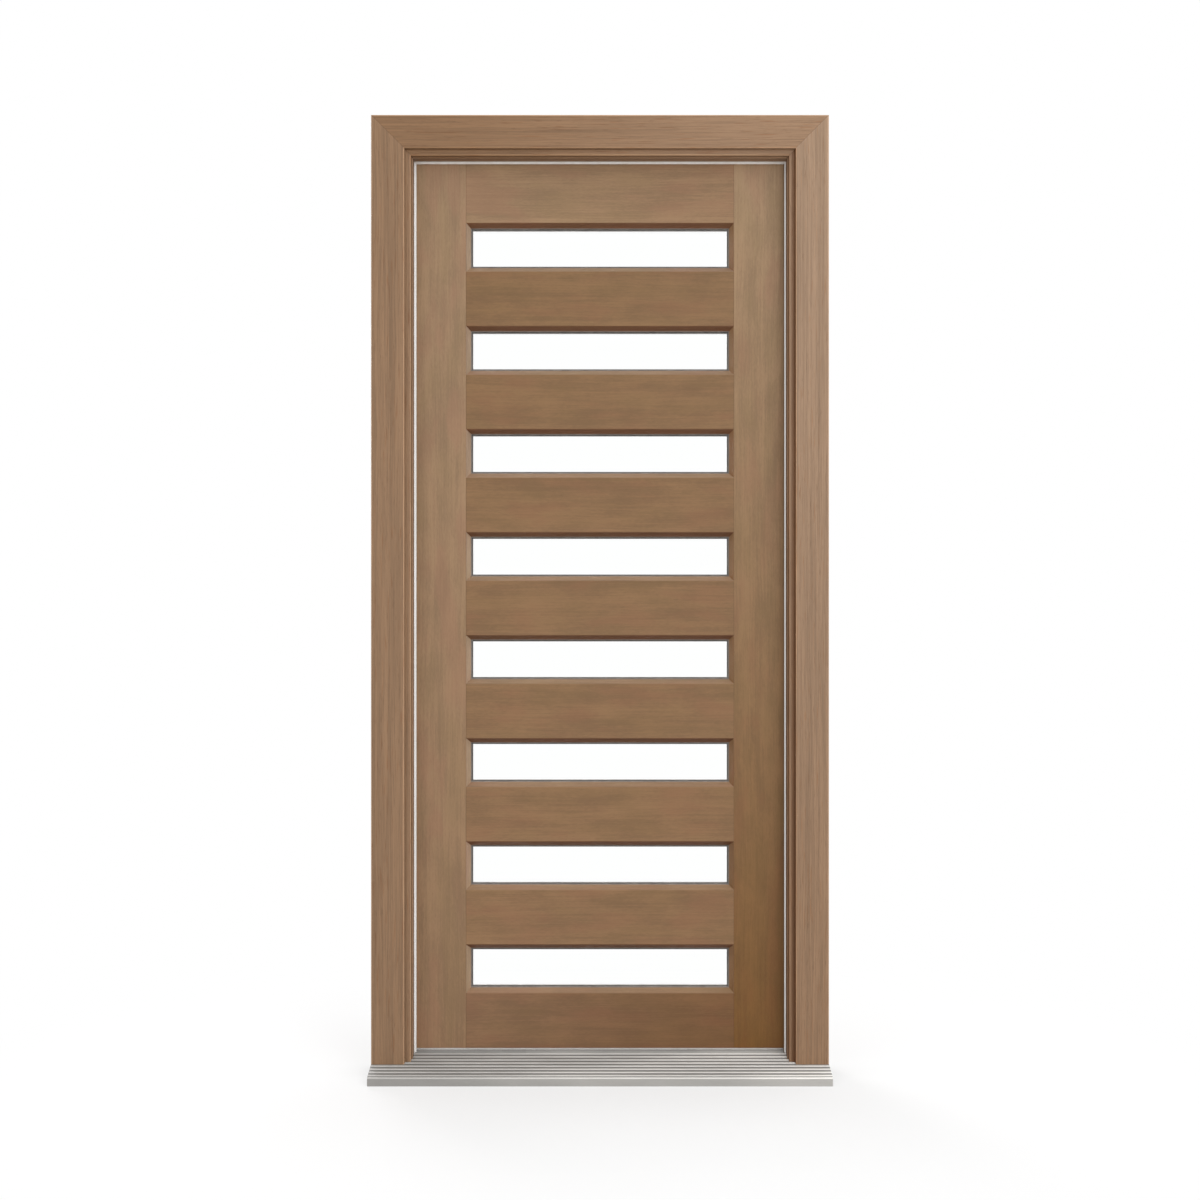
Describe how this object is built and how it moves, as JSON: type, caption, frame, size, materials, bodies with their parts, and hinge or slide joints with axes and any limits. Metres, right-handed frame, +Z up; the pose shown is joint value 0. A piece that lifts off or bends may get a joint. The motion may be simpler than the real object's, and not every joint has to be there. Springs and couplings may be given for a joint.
{
  "type": "glass panel door",
  "caption": "Inward-opening timber door with narrow horizontal glazed slots, in a stepped timber frame on a ribbed aluminium sill.",
  "frame": {"origin": "on the sill's flat underside, midway across, in line with the frame's outside face", "axes": "+X to the right seen from outside, +Y to the inside, +Z up"},
  "size_m": [1.006, 0.1765, 2.1156],
  "materials": {
    "frame_wood": "satin",
    "leaf_wood": "satin",
    "clear_glass": "clear",
    "spacer_bar": "matte",
    "seal_rubber": "matte",
    "sill_aluminium": "satin",
    "hinge_steel": "satin"
  },
  "bodies": {
    "frame": {"sill": "sill_aluminium", "sill_end_caps": "sill_aluminium", "threshold_strip": "sill_aluminium", "threshold_seal": "seal_rubber", "jamb_left": "frame_wood", "jamb_right": "frame_wood", "head": "frame_wood", "seal_left": "seal_rubber", "seal_right": "seal_rubber", "seal_head": "seal_rubber", "hinge_top_frame_half": "hinge_steel", "hinge_middle_frame_half": "hinge_steel", "hinge_bottom_frame_half": "hinge_steel", "hinge_pins": "hinge_steel"},
    "leaf": {"hinge_stile": "leaf_wood", "lock_stile": "leaf_wood", "top_rail": "leaf_wood", "bottom_rail": "leaf_wood", "rail_1": "leaf_wood", "rail_2": "leaf_wood", "rail_3": "leaf_wood", "rail_4": "leaf_wood", "rail_5": "leaf_wood", "rail_6": "leaf_wood", "rail_7": "leaf_wood", "glass_1": "clear_glass", "glass_2": "clear_glass", "glass_3": "clear_glass", "glass_4": "clear_glass", "glass_5": "clear_glass", "glass_6": "clear_glass", "glass_7": "clear_glass", "glass_8": "clear_glass", "glass_spacers": "spacer_bar", "outer_beads_top": "leaf_wood", "outer_beads_bottom": "leaf_wood", "outer_beads_left": "leaf_wood", "outer_beads_right": "leaf_wood", "inner_beads_top": "leaf_wood", "inner_beads_bottom": "leaf_wood", "inner_beads_left": "leaf_wood", "inner_beads_right": "leaf_wood", "hinge_top_leaf_half": "hinge_steel", "hinge_middle_leaf_half": "hinge_steel", "hinge_bottom_leaf_half": "hinge_steel"}
  },
  "joints": [
    {"name": "door_swing", "type": "hinge", "parent": "frame", "child": "leaf", "pos_m": [-0.4215, 0.11, 1], "axis": [0, 0, 1], "range_deg": [0, 110]}
  ]
}
